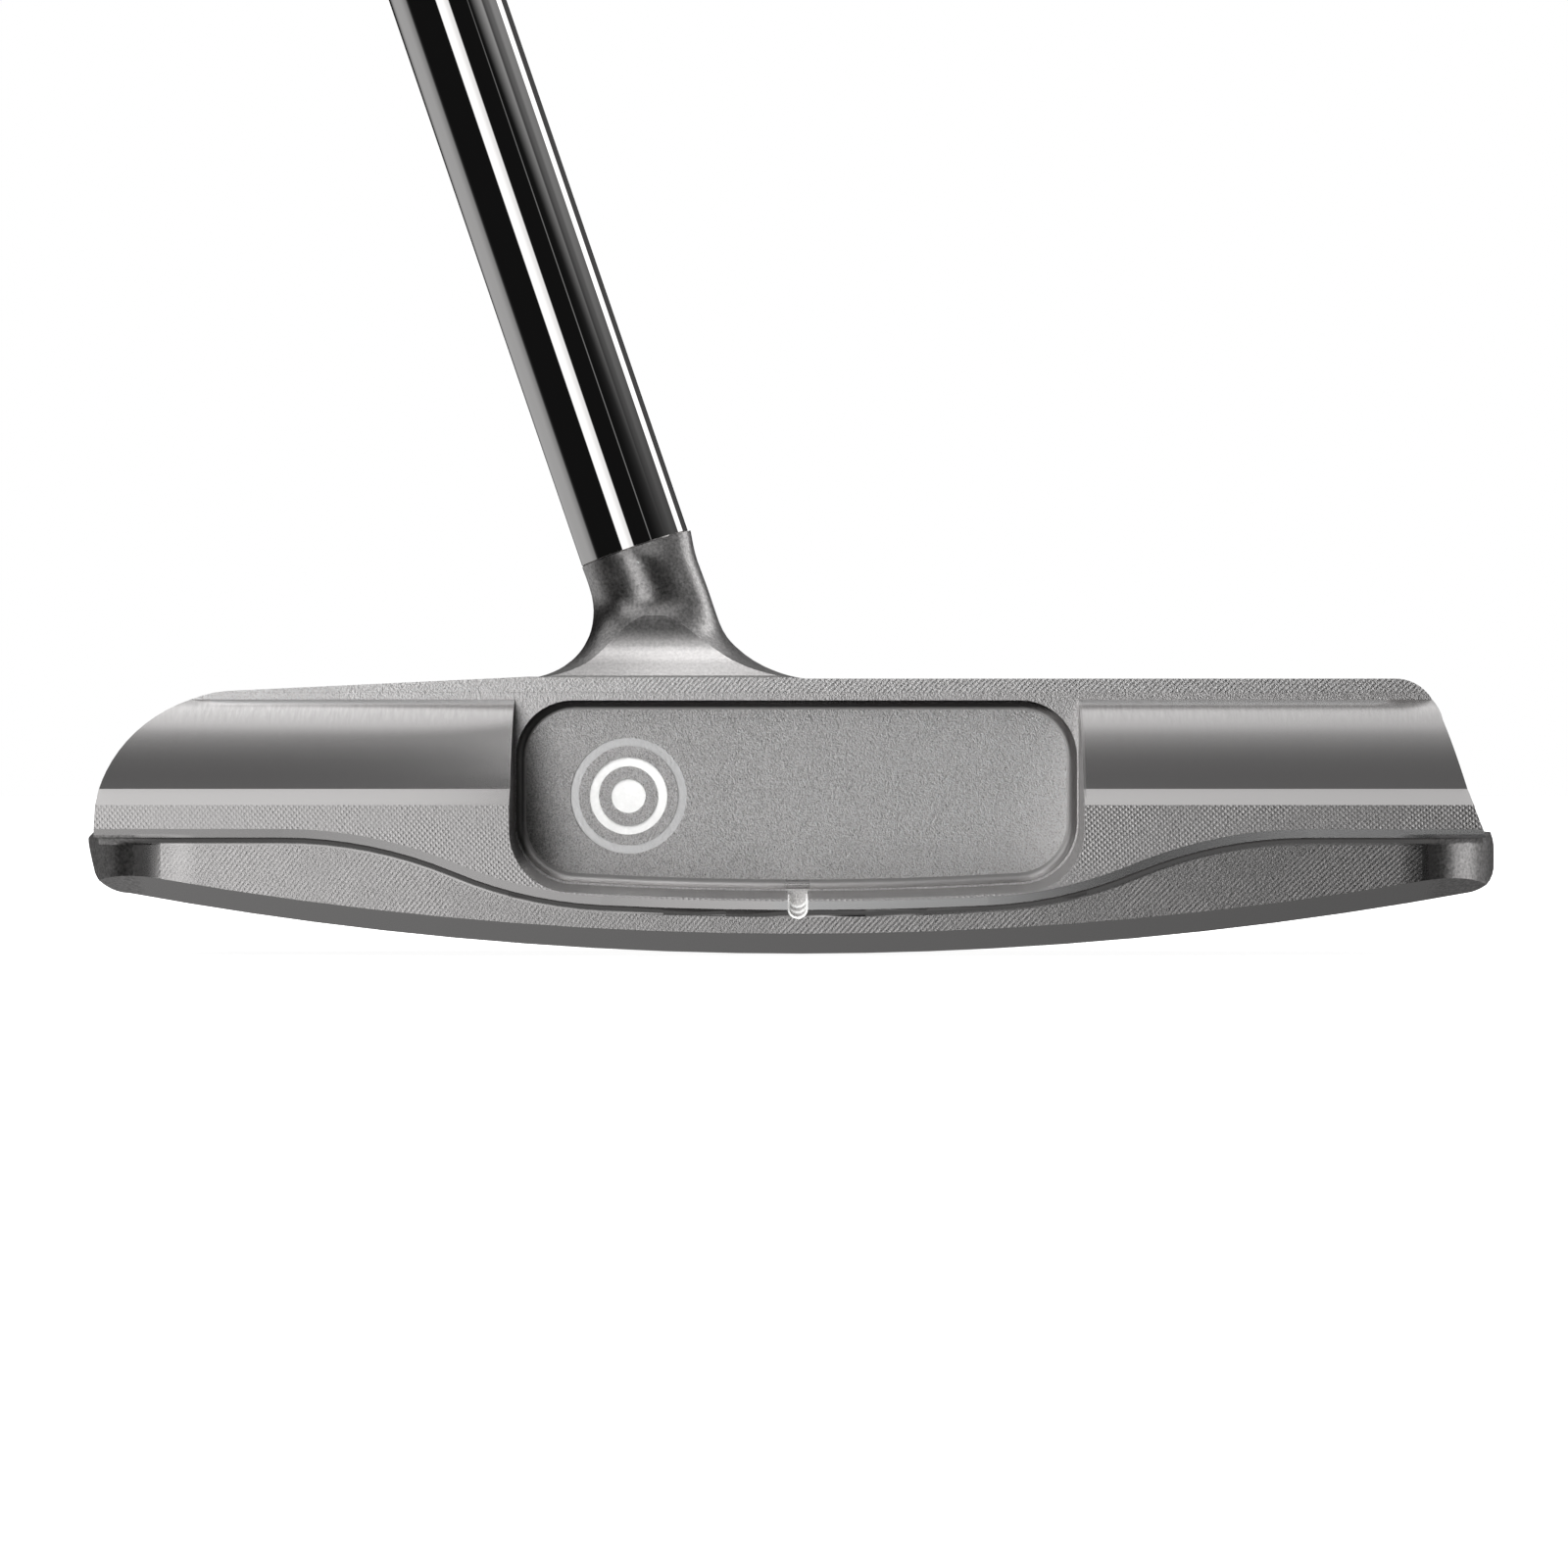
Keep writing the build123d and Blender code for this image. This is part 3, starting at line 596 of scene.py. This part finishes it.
def enamel():
    """White paint filled into a milled groove."""
    s = Shader("white_paint")
    place = s.place()
    pooled = s.noise(s.scaled(place, (900, 900, 900)), 1.0, 2.0)
    speck = s.noise(s.scaled(place, (4000, 4000, 4000)), 1.0, 3.0)
    shade = s.math("MULTIPLY_ADD", s.math("MULTIPLY", pooled, speck), 0.3, 0.66)
    base = s.node("ShaderNodeVectorMath", operation="SCALE")
    base.inputs[0].default_value = (0.95, 0.95, 0.94)
    s.link(shade, base.inputs["Scale"])
    s.link(base.outputs[0], s.bsdf.inputs["Base Color"])
    s.bsdf.inputs["Roughness"].default_value = 0.38
    s.link(s.bump(pooled, 0.03 * MM), s.bsdf.inputs["Normal"])
    return s.material


def woven(name, level):
    """Paper tape and cured adhesive, both hidden once the club is assembled."""
    s = Shader(name)
    place = s.place()
    fibre = s.noise(s.scaled(place, (1500, 1500, 400)), 1.0, 4.0, 0.7)
    s.link(s.span(fibre, 0.2, 0.8, level * 0.75, level), s.bsdf.inputs["Base Color"])
    s.bsdf.inputs["Roughness"].default_value = 0.6
    s.link(s.bump(fibre, 0.02 * MM), s.bsdf.inputs["Normal"])
    return s.material


def dress(node, material):
    """Gives a CAD node its material, in every slot."""
    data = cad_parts[node].data
    if not data.materials:
        data.materials.append(material)
    for index in range(len(data.materials)):
        data.materials[index] = material


paint = enamel()
dress("head", Steel().material)
dress("shaft_bond", woven("epoxy", 0.45))
dress("grip_tape", woven("tape", 0.75))
dress("grip_cap", rubber("cap_rubber", 0.022, 2600, 0.01 * MM))
dress("sight_line_paint", paint)
dress("mark_paint", paint)


# ---- shaft and grip ------------------------------------------------------------------
def on_axis(radius_across, radius_back, height):
    """Point beside the shaft axis: across (to the toe), back and up the axis."""
    return JOINT + ACROSS * radius_across - Vector((0, radius_back, 0)) + AXIS * height


def new_mesh(name, points, faces, material, sharp=radians(35)):
    data = bpy.data.meshes.new(name)
    data.from_pydata([tuple(point) for point in points], [], faces)
    data.update()
    made = bpy.data.objects.new(name, data)
    bpy.context.collection.objects.link(made)
    data.polygons.foreach_set("use_smooth", [True] * len(data.polygons))
    data.set_sharp_from_angle(angle=sharp)
    data.materials.append(material)
    return made


def rings_to_faces(rings, around, closed=False):
    faces = []
    for ring in range(rings if closed else rings - 1):
        here, there = ring * around, (ring + 1) % rings * around
        for side in range(around):
            after = (side + 1) % around
            faces.append((here + side, here + after, there + after, there + side))
    return faces


NECK_RADIUS = 4.7 * MM
BUTT_RADIUS = 7.37 * MM
WALL = 0.65 * MM
TIP_PARALLEL = 190 * MM
CLUB_LENGTH = 864 * MM
CAP = 3.2 * MM
SHAFT_LENGTH = CLUB_LENGTH - JOINT_Z / cos(LEAN) - CAP
RIM = 0.12 * MM                     # broken edge at the shaft's ends
AROUND = 160


def shaft_mesh():
    outer = [
        (NECK_RADIUS - RIM, 0), (NECK_RADIUS, RIM), (NECK_RADIUS, TIP_PARALLEL),
        (BUTT_RADIUS, SHAFT_LENGTH - RIM), (BUTT_RADIUS - RIM, SHAFT_LENGTH)]
    inner = [
        (BUTT_RADIUS - WALL, SHAFT_LENGTH), (NECK_RADIUS - WALL, TIP_PARALLEL),
        (NECK_RADIUS - WALL, 0)]
    points = []
    for radius, height in outer + inner:
        for side in range(AROUND):
            angle = 2 * pi * side / AROUND
            points.append(on_axis(radius * cos(angle), radius * sin(angle), height))
    faces = rings_to_faces(len(outer + inner), AROUND, closed=True)
    return new_mesh("shaft_tube", points, faces, plated())


# grip sections in mm: distance below the butt, half width, and the reach of the flat
# front and of the round back from the shaft axis. The front, where the thumbs lie,
# faces the toe, and the back faces the player.
GRIP_STATIONS = [
    (0.0, 12.6, 10.6, 16.2), (28.0, 12.8, 10.7, 17.2), (80.0, 11.9, 10.4, 13.6),
    (150.0, 10.7, 9.9, 11.8), (220.0, 9.5, 9.3, 10.2), (267.0, 8.6, 8.7, 8.9)]
GRIP_LENGTH = 267 * MM
FLAT_SHARE = 0.62
GRIP_INSET = 0.10                   # mm; the sleeve stays this far inside the CAD grip
GRIP_AROUND = 168
GRIP_STEP = 0.75 * MM
KNURL_PITCH = 7.0                   # mm, along the grip
KNURL_TURNS = 22                    # grooves around the sleeve
GROOVE_HALF = 0.65                  # mm, as are the other sizes of the pattern
GROOVE_DEPTH = 0.38
GROOVE_SPACE = 0.55                 # millimetres around the sleeve per mm of groove pitch
RIB_PITCH = 3.2                     # mm, cross ribs on the flat front
RIB_HALF = 0.75
RIB_DEPTH = 0.20
PLAIN_TOP = 14                      # mm of sleeve without a pattern, at the cap
PLAIN_FOOT = 12
PLAIN_FADE = 3
FRONT_SHARE = 0.16                  # half of the plain front, as a share of the outline
RIB_SHARE = 0.115
MOUTH_TAPER = 0.10                  # the lower mouth draws in by this share
MOUTH_RUN = 2.2                     # mm
TAPE = 0.25 * MM


def smooth(value):
    value = min(max(value, 0.0), 1.0)
    return value * value * (3 - 2 * value)


SLOPE_SWEEPS = 40                   # enough for the slopes to settle


def end_slope(knots, values):
    """Slope at the first knot of the cubic through the first four points."""
    others = knots[1:4]
    slope = values[0] * sum(1 / (knots[0] - other) for other in others)
    for index, knot in enumerate(others, 1):
        top = bottom = 1.0
        for other_index in range(4):
            if other_index != index:
                bottom *= knot - knots[other_index]
                if other_index:
                    top *= knots[0] - knots[other_index]
        slope += values[index] * top / bottom
    return slope


def smooth_slopes(knots, values):
    """Slopes at the knots of the smooth cubic curve through the values."""
    slopes = [0.0] * len(knots)
    slopes[0] = end_slope(knots, values)
    slopes[-1] = end_slope(knots[::-1], values[::-1])
    for _ in range(SLOPE_SWEEPS):
        for index in range(1, len(knots) - 1):
            before = 1 / (knots[index] - knots[index - 1])
            after = 1 / (knots[index + 1] - knots[index])
            pull = 3 * ((values[index] - values[index - 1]) * before * before
                        + (values[index + 1] - values[index]) * after * after)
            pull -= before * slopes[index - 1] + after * slopes[index + 1]
            slopes[index] = pull / (2 * (before + after))
    return slopes


def curve_at(knots, values, slopes, place):
    """Value of the smooth cubic curve at one place."""
    index = 1
    while index < len(knots) - 1 and place > knots[index]:
        index += 1
    width = knots[index] - knots[index - 1]
    share = (place - knots[index - 1]) / width
    rest = 1 - share
    return ((1 + 2 * share) * rest * rest * values[index - 1]
            + (1 + 2 * rest) * share * share * values[index]
            + share * rest * width * (rest * slopes[index - 1] - share * slopes[index]))


STATION_PLACES = [station[0] for station in GRIP_STATIONS]
STATION_SIZES = [[station[column] for station in GRIP_STATIONS] for column in (1, 2, 3)]
STATION_SLOPES = [smooth_slopes(STATION_PLACES, sizes) for sizes in STATION_SIZES]
FLAT_STEPS = 17                     # steps of the outline from the flat's middle to its edge


def section_at(below):
    """Half width, flat and belly of the grip this far below the butt, in mm."""
    return [curve_at(STATION_PLACES, sizes, slopes, below)
            for sizes, slopes in zip(STATION_SIZES, STATION_SLOPES)]


def grip_outline(half_width, flat, belly):
    """Points (fore, side) of a section, from the middle of the flat front, all round."""
    edge = FLAT_SHARE * half_width
    fore = [flat, 0.0, -belly, 0.0, flat]
    side = [edge, half_width, 0.0, -half_width, -edge]
    knots = [0.0]
    for first in range(4):
        run = hypot(fore[first + 1] - fore[first], side[first + 1] - side[first])
        knots.append(knots[-1] + run)
    fore_slopes, side_slopes = smooth_slopes(knots, fore), smooth_slopes(knots, side)
    round_steps = GRIP_AROUND - 2 * FLAT_STEPS
    points = []
    for step in range(GRIP_AROUND):
        if step < FLAT_STEPS:
            points.append((flat, edge * step / FLAT_STEPS))
        elif step > GRIP_AROUND - FLAT_STEPS:
            points.append((flat, edge * (step - GRIP_AROUND) / FLAT_STEPS))
        else:
            place = knots[-1] * (step - FLAT_STEPS) / round_steps
            points.append((curve_at(knots, fore, fore_slopes, place),
                           curve_at(knots, side, side_slopes, place)))
    return points


def groove_depth(below, share, length):
    """Depth of the moulded pattern: crossed grooves at the back, ribs on the front."""
    ends = smooth((below - PLAIN_TOP) / PLAIN_FADE)
    ends *= smooth((length - PLAIN_FOOT - below) / PLAIN_FADE)
    from_front = min(share, 1 - share)
    front = smooth((FRONT_SHARE - from_front) / 0.03)
    rib = abs((below / RIB_PITCH) % 1 - 0.5) * RIB_PITCH
    ribs = RIB_DEPTH * smooth((RIB_HALF - rib) / 0.35) * smooth((RIB_SHARE - from_front) / 0.02)
    depth = 0.0
    for sign in (-1, 1):
        phase = (share * KNURL_TURNS + sign * below / KNURL_PITCH) % 1
        distance = abs(phase - 0.5) * KNURL_PITCH * GROOVE_SPACE
        depth = max(depth, smooth((GROOVE_HALF + 0.25 - distance) / 0.45))
    return ends * max(GROOVE_DEPTH * depth * (1 - front), ribs)


def grip_mesh():
    length = GRIP_LENGTH / MM
    rings = int(GRIP_LENGTH / GRIP_STEP) + 1
    start = SHAFT_LENGTH - GRIP_LENGTH
    points = []
    for ring in range(rings):
        below = length * (1 - ring / (rings - 1))
        outline = grip_outline(*section_at(below))
        mouth = 1 - MOUTH_TAPER * smooth((below - length + MOUTH_RUN) / MOUTH_RUN)
        for step in range(GRIP_AROUND):
            share = step / GRIP_AROUND
            fore, side = outline[step]
            reach = hypot(side, fore)
            shrink = (reach - GRIP_INSET - groove_depth(below, share, length)) / reach * mouth
            height = SHAFT_LENGTH - below * MM
            points.append(on_axis(fore * shrink * MM, side * shrink * MM, height))
    faces = rings_to_faces(rings, GRIP_AROUND)
    # both ends are closed in to the tape; the cap covers the butt end
    taper = (BUTT_RADIUS - NECK_RADIUS) / (SHAFT_LENGTH - TIP_PARALLEL)
    mouth_radius = BUTT_RADIUS - GRIP_LENGTH * taper + TAPE
    last_ring = (rings - 1) * GRIP_AROUND
    for radius, height, ring in (
            (mouth_radius, start, 0), (BUTT_RADIUS + TAPE, SHAFT_LENGTH, last_ring)):
        first = len(points)
        for step in range(GRIP_AROUND):
            turn = 2 * pi * step / GRIP_AROUND
            points.append(on_axis(radius * cos(turn), radius * sin(turn), height))
        for step in range(GRIP_AROUND):
            after = (step + 1) % GRIP_AROUND
            if ring:
                faces.append((ring + step, ring + after, first + after, first + step))
            else:
                faces.append((step, first + step, first + after, after))
    return new_mesh("grip_sleeve", points, faces, rubber("grip_rubber", 0.02, 2200, 0.012 * MM))


shaft = shaft_mesh()
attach(shaft, "root")
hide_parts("shaft")
grip = grip_mesh()
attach(grip, "root")
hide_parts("grip")
